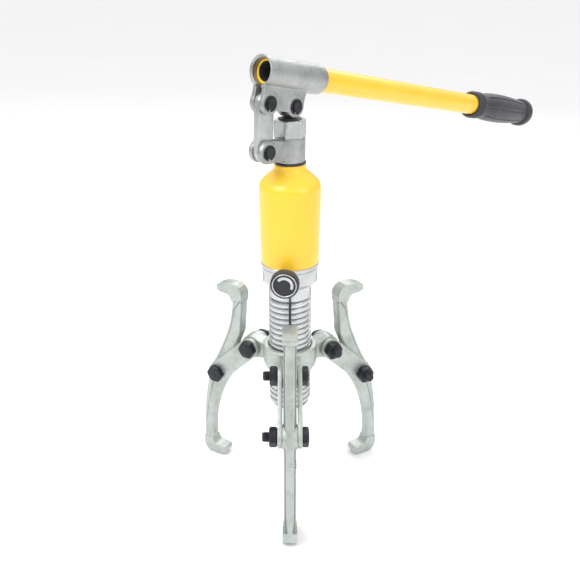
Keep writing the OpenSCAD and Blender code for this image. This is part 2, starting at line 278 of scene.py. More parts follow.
def cast_object(name, bm, grain=0.6, melt=5, cutter=None, cored=None):
    """One skin over overlapping solids, softened like a casting or forging.

    cored is cut out before the skin and softened with it, and cutter afterwards with sharp edges.
    """
    obj = mesh_object(name, bm)
    if cored:
        machined(obj, cored)
    skin = obj.modifiers.new("skin", "REMESH")
    skin.mode = "VOXEL"
    skin.voxel_size = grain * MM
    soft = obj.modifiers.new("melt", "SMOOTH")
    soft.iterations = melt
    soft.factor = 0.5
    evaluated(obj)
    if cutter:
        machined(obj, cutter)
    obj.data.shade_smooth()
    obj.data.set_sharp_from_angle(angle=math.radians(40))
    return obj


def hexagon(across):
    """The radius limit of a hexagon that is across wide over its flats."""
    def limit(a):
        return across / 2 / math.cos((a + TURN / 12) % (TURN / 6) - TURN / 12)
    return limit


def hex_columns(steps=8):
    return [TURN * i / (6 * steps) for i in range(6 * steps)]


def hex_profile(across, low, high, chamfer=1.2, both=False, hole=0.0):
    """The turned profile whose hexagon gets rounded corners at its top, and its foot when both."""
    corner = across / 2 / math.cos(TURN / 12)
    rows = [(hole, low)]
    if both:
        rows += [(corner - chamfer - 0.4, low), (corner, low + chamfer)]
    else:
        rows += [(corner, low)]
    rows += [(corner, high - chamfer), (corner - 0.8, high - chamfer * 0.35)]
    rows += [(corner - chamfer - 0.4, high), (hole, high)]
    return rows


def finish_piece(obj, body, slot, material, *nodes):
    """Gives a piece its material, its body, and the CAD nodes it stands for; slot is not used."""
    obj.data.materials.clear()
    obj.data.materials.append(material)
    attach(obj, body)
    if nodes:
        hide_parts(*nodes)
    return obj


# ------------------------------------------------------------------ materials


class Nodes:
    """A short way to write a Principled material with procedural detail."""

    def __init__(self, name, color, metallic, roughness):
        self.material = bpy.data.materials.new(name)
        self.material.use_nodes = True
        self.tree = self.material.node_tree
        self.shader = self.tree.nodes["Principled BSDF"]
        self.shader.inputs["Base Color"].default_value = (*color, 1)
        self.shader.inputs["Metallic"].default_value = metallic
        self.shader.inputs["Roughness"].default_value = roughness
        self.place = self.tree.nodes.new("ShaderNodeTexCoord").outputs["Object"]
        self.height = None

    def link(self, a, b):
        self.tree.links.new(a, b)

    def noise(self, scale, detail=4.0, rough=0.5, stretch=None):
        """A noise field; scale is lumps per metre, stretch scales it along X, Y and Z."""
        node = self.tree.nodes.new("ShaderNodeTexNoise")
        node.inputs["Scale"].default_value = scale
        node.inputs["Detail"].default_value = detail
        node.inputs["Roughness"].default_value = rough
        place = self.place
        if stretch:
            scaled = self.tree.nodes.new("ShaderNodeVectorMath")
            scaled.operation = "MULTIPLY"
            scaled.inputs[1].default_value = stretch
            self.link(place, scaled.inputs[0])
            place = scaled.outputs[0]
        self.link(place, node.inputs["Vector"])
        return node.outputs["Fac"]

    def ramp(self, field, low, high, first, last):
        """Maps field from low to high onto two colours."""
        node = self.tree.nodes.new("ShaderNodeValToRGB")
        node.color_ramp.elements[0].position = low
        node.color_ramp.elements[1].position = high
        node.color_ramp.elements[0].color = (*first, 1)
        node.color_ramp.elements[1].color = (*last, 1)
        self.link(field, node.inputs["Fac"])
        return node.outputs["Color"]

    def spread(self, field, low, high):
        """Maps a field onto a range of numbers."""
        node = self.tree.nodes.new("ShaderNodeMapRange")
        node.inputs["From Min"].default_value = 0.3
        node.inputs["From Max"].default_value = 0.7
        node.inputs["To Min"].default_value = low
        node.inputs["To Max"].default_value = high
        self.link(field, node.inputs["Value"])
        return node.outputs["Result"]

    def mixed(self, share, first, last):
        node = self.tree.nodes.new("ShaderNodeMix")
        node.data_type = "RGBA"
        self.link(share, node.inputs["Factor"])
        self.link(first, node.inputs["A"])
        self.link(last, node.inputs["B"])
        return node.outputs["Result"]

    def painted_shade(self, name, color, dark):
        """Paints shade: darkens a colour where the mesh's named attribute is high."""
        mark = self.tree.nodes.new("ShaderNodeAttribute")
        mark.attribute_name = name
        node = self.tree.nodes.new("ShaderNodeMix")
        node.data_type = "RGBA"
        self.link(mark.outputs["Fac"], node.inputs["Factor"])
        self.link(color, node.inputs["A"])
        node.inputs["B"].default_value = (*dark, 1)
        return node.outputs["Result"]

    def bump(self, field, depth_mm, strength=1.0):
        """Adds relief of about that depth from a field."""
        node = self.tree.nodes.new("ShaderNodeBump")
        node.inputs["Distance"].default_value = depth_mm * MM
        node.inputs["Strength"].default_value = strength
        self.link(field, node.inputs["Height"])
        if self.height:
            self.link(self.height, node.inputs["Normal"])
        self.height = node.outputs["Normal"]
        self.link(self.height, self.shader.inputs["Normal"])

    def color(self, output):
        self.link(output, self.shader.inputs["Base Color"])

    def roughness(self, output):
        self.link(output, self.shader.inputs["Roughness"])


def yellow_paint():
    m = Nodes("yellow_paint", (1.0, 0.60, 0.02), 0.0, 0.34)
    cloud = m.noise(18, 3)
    m.color(m.ramp(cloud, 0.3, 0.7, (0.94, 0.555, 0.026), (0.96, 0.60, 0.040)))
    m.roughness(m.spread(m.noise(60, 4), 0.27, 0.42))
    m.bump(m.noise(900, 2), 0.05, 0.35)
    m.bump(m.noise(170, 2), 0.10, 0.25)
    m.shader.inputs["Coat Weight"].default_value = 0.25
    m.shader.inputs["Coat Roughness"].default_value = 0.12
    return m.material


def cast_metal(name, dark, light, metallic, grain, rough=(0.38, 0.58)):
    """Zinc-plated casting or forging: mottled tone, scale specks, painted shade where the mesh marks creases,
    and a fine grain.
    """
    m = Nodes(name, light, metallic, 0.45)
    patches = m.ramp(m.noise(45, 6, 0.6), 0.34, 0.66, dark, light)
    speck = m.ramp(m.noise(700, 5, 0.7), 0.28, 0.46, tuple(c * 0.72 for c in dark), light)
    metal = m.mixed(m.spread(m.noise(130, 3), 0.15, 0.75), patches, speck)
    # painted shade: darker where the mesh marks the claws' creases and steps
    m.color(m.painted_shade("crease_shade", metal, tuple(c * 0.3 for c in dark)))
    m.roughness(m.spread(m.noise(220, 4), *rough))
    m.bump(m.noise(1500, 3, 0.6), 0.06 * grain, 0.6)
    m.bump(m.noise(260, 5, 0.65), 0.22 * grain, 0.5)
    return m.material


def machined_metal(name, dark, light, stretch=(1, 1, 14), rough=(0.2, 0.4), scale=420):
    """Turned or ground metal: fine lines along the cut, tone that drifts, and handling marks."""
    m = Nodes(name, light, 0.9, 0.3)
    lines = m.noise(scale, 3, 0.6, stretch)
    drift = m.ramp(m.noise(38, 4), 0.3, 0.7, dark, light)
    streak = m.ramp(lines, 0.35, 0.65, tuple(c * 0.9 for c in dark), light)
    m.color(m.mixed(m.spread(m.noise(80, 3), 0.25, 0.75), drift, streak))
    m.roughness(m.spread(lines, *rough))
    m.bump(lines, 0.03, 0.5)
    m.bump(m.noise(1300, 3), 0.015, 0.4)
    return m.material


def black_oxide():
    m = Nodes("black_oxide", (0.018, 0.02, 0.026), 0.35, 0.42)
    m.color(m.ramp(m.noise(160, 5), 0.35, 0.7, (0.010, 0.011, 0.015), (0.030, 0.032, 0.042)))
    m.roughness(m.spread(m.noise(500, 4), 0.34, 0.56))
    m.bump(m.noise(1400, 3), 0.05, 0.5)
    return m.material


def black_rubber(name="black_rubber", tone=1.0):
    m = Nodes(name, (0.02, 0.021, 0.026), 0.0, 0.5)
    dark = tuple(c * tone for c in (0.012, 0.013, 0.017))
    light = tuple(c * tone for c in (0.026, 0.028, 0.036))
    m.color(m.ramp(m.noise(90, 5), 0.3, 0.7, dark, light))
    m.roughness(m.spread(m.noise(300, 4), 0.38, 0.58))
    m.bump(m.noise(2200, 2), 0.05, 0.45)
    m.shader.inputs["Sheen Weight"].default_value = 0.15
    return m.material


YELLOW = yellow_paint()
CAST = cast_metal("cast_zinc", (0.25, 0.26, 0.257), (0.46, 0.47, 0.462), 0.85, 1.0)
FORGED = cast_metal("forged_zinc", (0.31, 0.345, 0.32), (0.53, 0.565, 0.535), 0.7, 1.3, (0.36, 0.56))
PLATE = cast_metal("plated_plate", (0.36, 0.39, 0.38), (0.55, 0.58, 0.57), 0.85, 0.4, (0.26, 0.44))
BRIGHT = machined_metal("bright_zinc", (0.42, 0.43, 0.44), (0.68, 0.69, 0.69))
TURNED = machined_metal("turned_steel", (0.44, 0.45, 0.46), (0.70, 0.71, 0.72), rough=(0.20, 0.38))
GROUND = machined_metal("ground_steel", (0.56, 0.57, 0.59), (0.74, 0.75, 0.77), rough=(0.12, 0.22))
OXIDE = black_oxide()
RUBBER = black_rubber()
SEAL = black_rubber("seal_rubber", 0.7)
KNOB_FACE = black_rubber("knob_face", 0.55)
# painted shade in the thread's grooves: a dark steel where the grooves are in shade
THREAD_GROOVE_SHADE = machined_metal("painted_groove_shade", (0.10, 0.105, 0.11), (0.24, 0.245, 0.25), rough=(0.35, 0.5))
# painted shade inside the handle tube's bore: a near-black metal where the bore is in shade
BORE_SHADE = cast_metal("painted_bore_shade", (0.05, 0.05, 0.052), (0.12, 0.12, 0.12), 0.5, 0.5)
KNOB = black_rubber("knob_black", 1.1)
BOLT_R = 5.0


# ------------------------------------------------------------------ pieces: sleeve, block and ram


def turned_piece(name, rows, place, body, slot, material, *nodes, **options):
    """One turned piece from its profile."""
    bm = bmesh.new()
    add_turned(bm, rows, place, **options)
    return finish_piece(mesh_object(name, bm), body, slot, material, *nodes)


def hollow(inner, rows):
    """A profile closed by a bore: inner is the bore's radius."""
    return [(inner, rows[0][1])] + rows + [(inner, rows[-1][1])]


def around(*marks, steps=144):
    """Evenly spaced column angles with extra ones at the marks, in degrees."""
    angles = {round(360 * i / steps, 4) for i in range(steps)}
    return [math.radians(a) for a in sorted(angles | {round(m % 360, 4) for m in marks})]


SLEEVE_R = radius("threaded_sleeve")
SLEEVE_LOW = bottom("threaded_sleeve")
BLOCK_LOW = bottom("cylinder_block")
# the sleeve moves the yoke by this much a turn
PITCH = 6.0
THREAD_ROOT = SLEEVE_R - 1.9
COLLAR = BLOCK_LOW - 13
SLOT_HALF = math.degrees(0.7 / SLEEVE_R)


def slot_cap(a):
    """The sleeve's radius limit at the keyway that faces the front claw."""
    away = abs((math.degrees(a) + 90 + 180) % 360 - 180)
    return SLEEVE_R - 2.9 if away < SLOT_HALF + 0.01 else 1e9


def add_thread(bm, low, high, root, crest, pitch, place, steps=96, gap=None):
    """A helical ridge wound from low to high, run out at both ends."""
    turns = (high - low) / pitch - 1
    count = int(turns * steps)
    shape = [(-0.46, 0.0), (-0.33, 0.86), (-0.24, 1.0), (0.24, 1.0), (0.33, 0.86), (0.46, 0.0)]
    rings = []
    for i in range(count + 1):
        a = TURN * i / steps
        fade = min(1.0, i / steps * 3, (count - i) / steps * 3)
        top_r = root + (crest - root) * fade
        z = low + pitch * 0.5 + pitch * i / steps
        if gap:
            top_r = min(top_r, gap(a))
        ring = []
        for along, rise in shape:
            r = root - 0.3 + (top_r - root + 0.3) * rise
            ring.append(bm.verts.new(place @ Vector((r * math.cos(a), r * math.sin(a), z + along * pitch))))
        rings.append(ring)
    for first, second in zip(rings, rings[1:]):
        for k in range(len(shape)):
            m = (k + 1) % len(shape)
            bm.faces.new((first[k], first[m], second[m], second[k]))
    bm.faces.new(rings[0])
    bm.faces.new(list(reversed(rings[-1])))


def threaded_sleeve():
    bm = bmesh.new()
    bore = radius("ram_piston")
    rows = [(SLEEVE_R - 4.6, SLEEVE_LOW), (SLEEVE_R - 4.1, SLEEVE_LOW + 0.3),
            (THREAD_ROOT, SLEEVE_LOW + 3.4), (THREAD_ROOT, COLLAR - 0.6),
            (SLEEVE_R - 0.4, COLLAR), (SLEEVE_R, COLLAR + 0.5), (SLEEVE_R, BLOCK_LOW - 0.6),
            (SLEEVE_R - 0.7, BLOCK_LOW), (SLEEVE_R - 2.5, BLOCK_LOW), (SLEEVE_R - 2.5, BLOCK_LOW + 12)]
    columns = around(*(-90 + s * (SLOT_HALF + d) for s in (-1, 1) for d in (0, 0.12)))
    add_turned(bm, hollow(bore + 2.8, rows), AXIS, columns=columns, limit=slot_cap)
    add_thread(bm, SLEEVE_LOW + 1.2, COLLAR + PITCH * 0.4, THREAD_ROOT, SLEEVE_R, PITCH, AXIS, steps=120,
               gap=slot_cap)
    obj = finish_piece(mesh_object("sleeve", bm), "cylinder", "machined_steel", TURNED, "threaded_sleeve")
    # the faces in the thread's grooves get the painted groove shade
    obj.data.materials.append(THREAD_GROOVE_SHADE)
    for face in obj.data.polygons:
        at = face.center / MM
        if SLEEVE_LOW + 4 < at.z < BLOCK_LOW - 0.8 and math.hypot(at.x, at.y) < THREAD_ROOT + 0.55:
            face.material_index = 1
    return obj


def cylinder_block():
    """The block with its bottom bevel, two wrench flats and the boss of the release valve."""
    bm = bmesh.new()
    size = radius("reservoir_shell") - 1.0
    flat = size - 1.6
    foot = BLOCK_LOW
    shelf = foot + 19
    edge = math.degrees(math.acos(flat / size))
    columns = around(edge, 180 - edge, 180 + edge, 360 - edge)
    neck = SLEEVE_R - 2.3
    lower = [(neck, foot), (size - 6.3, foot), (size - 5.6, foot + 0.3), (size - 0.3, foot + 5.2),
             (size, foot + 5.8), (size, shelf), (neck, shelf)]
    add_turned(bm, lower, AXIS, columns=columns, limit=lambda a: flat / max(abs(math.cos(a)), 0.1))
    upper = [(4, shelf - 0.01), (size - 0.5, shelf), (size, shelf + 0.5), (size, foot + 22.5),
             (size - 0.5, foot + 23), (4, foot + 23)]
    add_turned(bm, upper, AXIS, segments=144)
    add_turned(bm, [(5.2, size - 4), (8.5, size - 4), (8.5, size + 1.3), (7.9, size + 1.9),
                    (5.2, size + 1.9)], VALVE @ Matrix.Translation((0, 0, -local_shift())), segments=64)
    return finish_piece(mesh_object("block", bm), "cylinder", "bright_zinc", BRIGHT, "cylinder_block")


def local_shift():
    """How far the valve frame's origin is from the ram axis."""
    point = VALVE.to_translation()
    return math.hypot(point.x, point.y) / MM


def ram_nose():
    tip = radius("ram_nose")
    rows = [(0, 0.0), (1.1, 0.0), (1.6, 0.3), (tip - 0.5, 6.4), (tip, 7.1), (tip, 9.5), (tip - 0.5, 10),
            (5, 10), (5, 20), (0, 20)]
    return turned_piece("nose", rows, AXIS, "ram", "black_steel", OXIDE, "ram_nose", segments=64)


def end_ring():
    low = bottom("sleeve_end_ring")
    size = radius("sleeve_end_ring")
    rows = [(size - 0.5, low), (size, low + 0.5), (size, low + 7.8)]
    return turned_piece("end_ring", hollow(radius("ram_piston") - 1.05, rows), AXIS, "cylinder",
                        "bright_zinc", BRIGHT, "sleeve_end_ring")


# ------------------------------------------------------------------ pieces: reservoir and valve


def reservoir():
    size = radius("reservoir_shell") - 1.0
    low = bottom("reservoir_shell")
    high = top("reservoir_shell")
    shoulder = high - 19.5
    outside = [(size - 0.8, low), (size, low + 0.9), (size + 1, shoulder - 9), (size + 0.9, shoulder - 1),
               (size - 1.4, shoulder + 3.4), (size - 5, shoulder + 6.8), (19, shoulder + 10.4),
               (16.2, shoulder + 12.9), (15.1, shoulder + 15.4), (15, high - 0.6), (14.4, high)]
    rows = softened(outside, 2.6, closed=False, steps=4)
    inside = [(11.1, high), (11.1, shoulder + 6), (size - 7, shoulder - 1), (size - 3, shoulder - 6),
              (size - 3, low)]
    return turned_piece("reservoir", rows + inside, AXIS, "cylinder", "yellow_paint", YELLOW,
                        "reservoir_shell", segments=160)


def valve():
    """The knurled knob, its bright ring and its plain dial."""
    low, high = local_box("valve_knob", VALVE)
    size, start, end = (high.x - low.x) / 2, low.z, high.z
    face = end - 2

    def knurl(a):
        return size - 0.28 + 0.28 * math.cos(a * 48)

    bm = bmesh.new()
    rows = [(5.1, start), (size - 4, start), (size - 3, start + 0.6), (size - 0.6, start + 2.4),
            (size, start + 3.4), (size, end - 1.4), (size - 0.3, end - 0.6), (size - 1.1, end),
            (size - 1.8, end), (size - 2.1, face), (3.1, face)]
    add_turned(bm, rows, VALVE, segments=288, limit=knurl)
    knob = finish_piece(mesh_object("knob", bm), "valve", "knob_grip", KNOB, "valve_knob")
    rows = [(size - 2.1, face - 0.1), (size - 2.1, end + 0.05), (size - 2.3, end + 0.2),
            (size - 2.9, end + 0.2), (size - 3.15, end - 0.1), (size - 3.15, face - 0.1)]
    ring = turned_piece("bezel", rows + rows[:1], VALVE, "valve", "bright_zinc", BRIGHT, "knob_bezel",
                        segments=128)
    rows = [(0, face), (size - 3.2, face), (size - 3.2, face + 1.3), (size - 3.5, face + 1.6),
            (0, face + 1.6)]
    dial = turned_piece("dial", rows, VALVE, "valve", "knob_face", KNOB_FACE, "knob_insert", segments=96)
    band = arc((0, 0), 8.6, -118, 52, 24) + list(reversed(arc((0, 0), 5.9, -118, 52, 24)))
    bm = bmesh.new()
    add_prism(bm, softened(band, 0.8), face + 1.5, face + 1.85, VALVE, edge=0.1, steps=1)
    mark = finish_piece(mesh_object("dial_mark", bm), "valve", "bright_zinc", BRIGHT)
    return [knob, ring, dial, mark]


# ------------------------------------------------------------------ pieces: pump head


def round_plate(ends, size, steps=20):
    """The outline of a bar with round ends, between two points."""
    first, second = Vector(ends[0]), Vector(ends[1])
    lean = math.degrees(math.atan2(second.y - first.y, second.x - first.x))
    return arc(second, size, lean - 90, lean + 90, steps) + arc(first, size, lean + 90, lean + 270, steps)


def pin(bm, u, v, half, place, size=5.0, lip=0.5, segments=48):
    """A plain pin through (u, v) along local Z, with its ends broken."""
    rows = [(0, -half), (size - lip, -half), (size, -half + lip), (size, half - lip), (size - lip, half),
            (0, half)]
    add_turned(bm, rows, place @ Matrix.Translation((u, v, 0)), segments=segments)


def clips(bm, u, v, face, place):
    """Two spring clips on a pin, open towards the low side."""
    outline = arc((u, v), 6.85, -78, 258, 30) + list(reversed(arc((u, v), 5.0, -66, 246, 24)))
    for low, high in ((face, face + 1.2), (-face - 1.2, -face)):
        add_prism(bm, outline, low, high, place, edge=0.25, steps=1)


def bores(*holes, place, half=40):
    """Cutters for round holes along local Z: each hole is (u, v, radius)."""
    bm = bmesh.new()
    for u, v, size in holes:
        add_turned(bm, [(0, -half), (size, -half), (size, half), (0, half)],
                   place @ Matrix.Translation((u, v, 0)), segments=48)
    return bm


def machined(obj, cutter, crease=32):
    """obj with the cutter's solids taken away."""
    tool = mesh_object(obj.name + "_cutter", cutter)
    cut = obj.modifiers.new("machined", "BOOLEAN")
    cut.operation = "DIFFERENCE"
    cut.solver = "EXACT"
    cut.use_self = True
    cut.object = tool
    evaluated(obj)
    bpy.data.objects.remove(tool)
    obj.data.shade_smooth()
    obj.data.set_sharp_from_angle(angle=math.radians(crease))
    return obj


PUMP_LOW = top("neck_seal")
NUT_LOW = bottom("gland_nut")
EAR = local_box("link_pin_clips", HEAD)[1].z - 1.2
FOOT = HEAD.inverted() @ LINK_FOOT
# the plunger rod's radius, and half the gap between the lever socket's lugs
ROD_R = 6.0
LUG_GAP = 3.4
LUG_OUT = local_box("lever_pin_clips", LEVER)[1].z - 1.2


def pump_body():
    """The casting with its two ears for the link pin."""
    bm = bmesh.new()
    rows = [(0, PUMP_LOW), (14.2, PUMP_LOW), (14.2, NUT_LOW - 0.2), (13.7, NUT_LOW + 0.1),
            (11, NUT_LOW + 0.2), (11, NUT_LOW + 4.2), (0, NUT_LOW + 4.2)]
    add_turned(bm, rows, AXIS)
    ear = FOOT.y
    blade = (arc((FOOT.x, ear), 10.4, 90, 270, 20)
             + [(-8, ear - 12.2), (-6, ear - 12.2), (-6, NUT_LOW - 2), (-8, NUT_LOW - 2)])
    for side in (-1, 1):
        low, high = sorted((side * LUG_GAP, side * EAR))
        web_low, web_high = sorted((side * LUG_GAP, side * (EAR - 1.5)))
        add_prism(bm, blade, web_low, web_high, HEAD)
        add_prism(bm, arc((FOOT.x, ear), 9.8, 0, 352, 40), low, high, HEAD)
    cutter = bores((FOOT.x, FOOT.y, 5.0), place=HEAD)
    add_turned(cutter, [(0, PUMP_LOW - 5), (ROD_R + 0.1, PUMP_LOW - 5), (ROD_R + 0.1, PUMP_LOW + 60),
                        (0, PUMP_LOW + 60)], AXIS, segments=64)
    obj = cast_object("pump_casting", bm, grain=0.5, melt=3, cutter=cutter)
    finish_piece(obj, "pump_head", "cast_zinc", CAST, "pump_body")
    low = bottom("pump_body")
    neck = turned_piece("pump_spigot", hollow(ROD_R + 0.1, [(10.9, low), (10.9, PUMP_LOW + 1)]), AXIS,
                        "pump_head", "cast_zinc", CAST)
    return [obj, neck]


def gland():
    """The hexagon nut, its wiper and the seal under the casting."""
    low, high = NUT_LOW, top("gland_nut")
    place = AXIS @ Matrix.Rotation(math.radians(-16), 4, "Z")
    rows = hex_profile(26.4, low + 0.3, high, chamfer=1.5, hole=ROD_R + 0.35)
    rows.insert(1, (13.4, low + 0.3))
    bm = bmesh.new()
    add_turned(bm, rows, place, columns=hex_columns(16), limit=hexagon(26.4))
    nut = finish_piece(mesh_object("gland", bm), "pump_head", "bright_zinc", PLATE, "gland_nut")
    low, high = bottom("gland_wiper"), top("gland_wiper")
    rows = hollow(ROD_R + 0.35, [(11, low), (11, high - 0.6), (9.6, high)])
    wiper = turned_piece("wiper", rows, AXIS, "pump_head", "black_seal", SEAL, "gland_wiper")
    low, high = bottom("neck_seal"), top("neck_seal")
    rows = hollow(11.1, [(14.7, low), (15.1, low + 0.5), (15.1, high - 0.6), (14.6, high)])
    seal = turned_piece("seal", rows, AXIS, "cylinder", "black_seal", SEAL, "neck_seal")
    return [nut, wiper, seal]


def plunger():
    low = bottom("plunger")
    pin_z = PLUNGER_PIN.z / MM
    bm = bmesh.new()
    rows = [(0, low), (ROD_R - 0.6, low), (ROD_R, low + 0.6), (ROD_R, pin_z - 9.6), (ROD_R - 1.2, pin_z - 8),
            (0, pin_z - 8)]
    add_turned(bm, rows, AXIS, segments=64)
    shank = [(-5.6, pin_z - 11), (5.6, pin_z - 11)]
    add_prism(bm, shank + arc((0, pin_z), 8.5, -40, 220, 28), -3, 3, HEAD, edge=0.5)
    obj = mesh_object("plunger_rod", bm)
    machined(obj, bores((0, pin_z, 5.05), place=HEAD))
    return finish_piece(obj, "plunger_rod", "black_steel", OXIDE, "plunger")


def link():
    bm = bmesh.new()
    add_prism(bm, round_plate(((0, 0), (0, LINK_LENGTH)), 9.2), -3, 3, LINK, edge=0.7)
    obj = mesh_object("link_bar", bm)
    machined(obj, bores((0, 0, 6.7), (0, LINK_LENGTH, 5.05), place=LINK))
    return finish_piece(obj, "link", "plated_steel", PLATE, "pump_link")


def pins():
    half = (local_box("link_pin", HEAD)[1].z - local_box("link_pin", HEAD)[0].z) / 2
    bm = bmesh.new()
    pin(bm, FOOT.x, FOOT.y, half, HEAD)
    clips(bm, FOOT.x, FOOT.y, EAR, HEAD)
    foot = finish_piece(mesh_object("foot_pin", bm), "pump_head", "black_steel", OXIDE, "link_pin",
                        "link_pin_clips")
    half = (local_box("lever_pins", LEVER)[1].z - local_box("lever_pins", LEVER)[0].z) / 2
    bm = bmesh.new()
    for u in (0, -SPAN):
        pin(bm, u, 0, half, LEVER)
        clips(bm, u, 0, LUG_OUT, LEVER)
    lever = finish_piece(mesh_object("lever_pin_pair", bm), "lever", "black_steel", OXIDE, "lever_pins",
                         "lever_pin_clips")
    return [foot, lever]


# ------------------------------------------------------------------ pieces: lever and handle

TUBE_LOW, TUBE_HIGH = local_box("handle_tube", LEVER)
TUBE_R = (TUBE_HIGH.z - TUBE_LOW.z) / 2
TUBE_V = (TUBE_LOW.y + TUBE_HIGH.y) / 2
TUBE_PLACE = base(LEVER @ Vector((0, TUBE_V, 0)), NEAR.cross(HANDLE), HANDLE)


def lever_socket():
    """The cast socket: a thick tube over two pairs of lugs."""
    low, high = local_box("lever_socket", LEVER)
    size = TUBE_R + 2.45
    bm = bmesh.new()
    rows = [(0, low.x), (size, low.x), (size, high.x - 4), (size - 1.6, high.x), (0, high.x)]
    add_turned(bm, rows, TUBE_PLACE)
    web = [(-SPAN - 9.4, 0), (-SPAN - 8.2, 22), (13, 22), (10.4, 9), (9.6, 0), (7, -6), (0, -8), (-8, -5.6),
           (-SPAN + 8, -5.6), (-SPAN, -8), (-SPAN - 7, -6)]
    for side in (-1, 1):
        near, far = sorted((side * LUG_GAP, side * LUG_OUT))
        web_near, web_far = sorted((side * LUG_GAP, side * (LUG_OUT - 0.4)))
        add_prism(bm, softened(web, 2.5), web_near, web_far, LEVER)
        for u in (0, -SPAN):
            add_prism(bm, arc((u, 0), 9.9, 0, 352, 44), near, far, LEVER)
    cutter = bores((0, 0, 5.0), (-SPAN, 0, 5.0), place=LEVER)
    rows = [(0, low.x - 10), (TUBE_R + 1.4, low.x - 10), (TUBE_R + 1.4, low.x - 0.01),
            (TUBE_R + 0.05, low.x + 1.4), (TUBE_R + 0.05, high.x + 10), (0, high.x + 10)]
    add_turned(cutter, rows, TUBE_PLACE)
    gap = [(low.x - 10, 0), (low.x + 8, 0), (low.x + 8, 19), (low.x - 10, 19)]
    add_prism(cutter, gap, -LUG_GAP, LUG_GAP, LEVER)
    obj = cast_object("socket", bm, grain=0.55, melt=4, cutter=cutter)
    return finish_piece(obj, "lever", "cast_zinc", CAST, "lever_socket")


def handle():
    """The painted tube and its moulded grip."""
    start, end = TUBE_LOW.x, TUBE_HIGH.x
    bore = TUBE_R - 2.5
    rows = [(bore, start + 0.4), (bore + 0.4, start), (TUBE_R - 0.5, start), (TUBE_R, start + 0.5),
            (TUBE_R, end - 0.4), (TUBE_R - 0.4, end), (bore, end)]
    tube = turned_piece("tube", rows, TUBE_PLACE, "handle", "yellow_paint", YELLOW, "handle_tube")
    # the faces inside the tube's bore get painted shade
    tube.data.materials.append(BORE_SHADE)
    back = TUBE_PLACE.inverted()
    for face in tube.data.polygons:
        at = back @ face.center
        if math.hypot(at.x, at.y) < bore + 0.15:
            face.material_index = 1
    low, high = local_box("handle_grip", LEVER)
    size, length = (high.z - low.z) / 2, high.x - low.x
    place = TUBE_PLACE @ Matrix.Translation((0, 0, low.x))
    skin = TUBE_R
    rows = [(skin, 0), (skin + 2.4, 0), (size - 2.6, 1.2)]
    for i in range(5):
        z = 2.2 + 2.3 * i
        rows += [(size - 2.2, z), (size - 1.8, z + 0.5), (size - 1.8, z + 1.2), (size - 2.9, z + 1.7)]
    body = [(size - 3.4, 16), (size - 3.3, 21), (size - 1.4, 34), (size - 0.4, 52), (size - 0.4, 70),
            (size - 1.2, 90), (size - 2.6, length - 28), (size - 3.2, length - 19)]
    rows += softened(body, 6, closed=False, steps=3)
    rows += softened([(size - 3.2, length - 17.6), (size - 0.5, length - 15.6), (size, length - 9.5),
                      (size - 1.6, length - 4.4), (size - 6.5, length - 1.2), (4, length), (0, length)], 1.8,
                     closed=False, steps=3)

    def add_fluted(bm):
        angles = [TURN * i / 240 for i in range(240)]
        rings = []
        for r, z in rows:
            depth = 0.0
            if 20 < z < length - 20:
                depth = 1.1 * min(1.0, (z - 20) / 8, (length - 20 - z) / 8)
            if r < 1e-6:
                rings.append([bm.verts.new(place @ Vector((0, 0, z)))])
                continue
            ring = []
            for a in angles:
                wave = 0.5 - 0.5 * math.cos(a * 8)
                cut = r - depth * (1 - min(1.0, wave * 7))
                ring.append(bm.verts.new(place @ Vector((cut * math.cos(a), cut * math.sin(a), z))))
            rings.append(ring)
        for first, second in zip(rings, rings[1:]):
            for i in range(240):
                j = (i + 1) % 240
                if len(second) == 1:
                    bm.faces.new((first[i], first[j], second[0]))
                else:
                    bm.faces.new((first[i], first[j], second[j], second[i]))
        back = [bm.verts.new(place @ Vector((0, 0, length - 5.4)))]
        inner = [bm.verts.new(place @ Vector((skin * math.cos(a), skin * math.sin(a), length - 5.4)))
                 for a in angles]
        for i in range(240):
            j = (i + 1) % 240
            bm.faces.new((rings[0][j], rings[0][i], inner[i], inner[j]))
            bm.faces.new((inner[j], inner[i], back[0]))

    bm = bmesh.new()
    add_fluted(bm)
    grip = finish_piece(mesh_object("grip", bm), "handle", "black_rubber", RUBBER, "handle_grip")
    return [tube, grip]


# ------------------------------------------------------------------ pieces: yoke, plates and claws


def yoke():
    """The cast yoke: a ring round the threaded bush with three pairs of lug faces."""
    seat = bottom("thread_bush") - 4
    rim = SLEEVE_R + 6.3
    lug = lug_frame("front").to_translation()
    lug_r, lug_z = math.hypot(lug.x, lug.y) / MM, lug.z / MM
    half = local_box("front_claw", claw_frame("front"))[1].z
    bm = bmesh.new()
    rows = [(0, seat), (rim - 5.6, seat), (rim - 3.2, seat + 1.6), (rim - 1.2, seat + 5), (rim, seat + 10),
            (rim, seat + 27), (rim - 1, seat + 28), (0, seat + 28)]
    add_turned(bm, rows, AXIS)
    ends = [(SLEEVE_R + 3.5 - lug_r, seat + 4.5 - lug_z), (-3, -12.0)] + arc((0, 0), 12.3, -76, 76, 16)
    ends += [(0, 12.3), (-8, 9.8), (rim + 1 - lug_r, 7.7), (SLEEVE_R + 3.5 - lug_r, 8.1)]
    for side in SIDES:
        add_prism(bm, ends, -half, half, lug_frame(side))
    cutter = bmesh.new()
    rows = [(0, seat - 5), (SLEEVE_R + 0.35, seat - 5), (SLEEVE_R + 0.35, seat + 3.95),
            (SLEEVE_R + 2.05, seat + 3.95), (SLEEVE_R + 2.05, seat + 24.05), (SLEEVE_R + 0.35, seat + 24.05),
            (SLEEVE_R + 0.35, seat + 27), (SLEEVE_R + 1.6, seat + 28.2), (SLEEVE_R + 1.6, seat + 34),
            (0, seat + 34)]
    add_turned(cutter, rows, AXIS)
    for side in SIDES:
        add_turned(cutter, [(0, -20), (BOLT_R + 0.2, -20), (BOLT_R + 0.2, 20), (0, 20)], lug_frame(side),
                   segments=48)
    obj = cast_object("yoke_casting", bm, grain=0.62, melt=4, cored=cutter)
    return finish_piece(obj, "yoke_body", "cast_zinc", FORGED, "yoke")


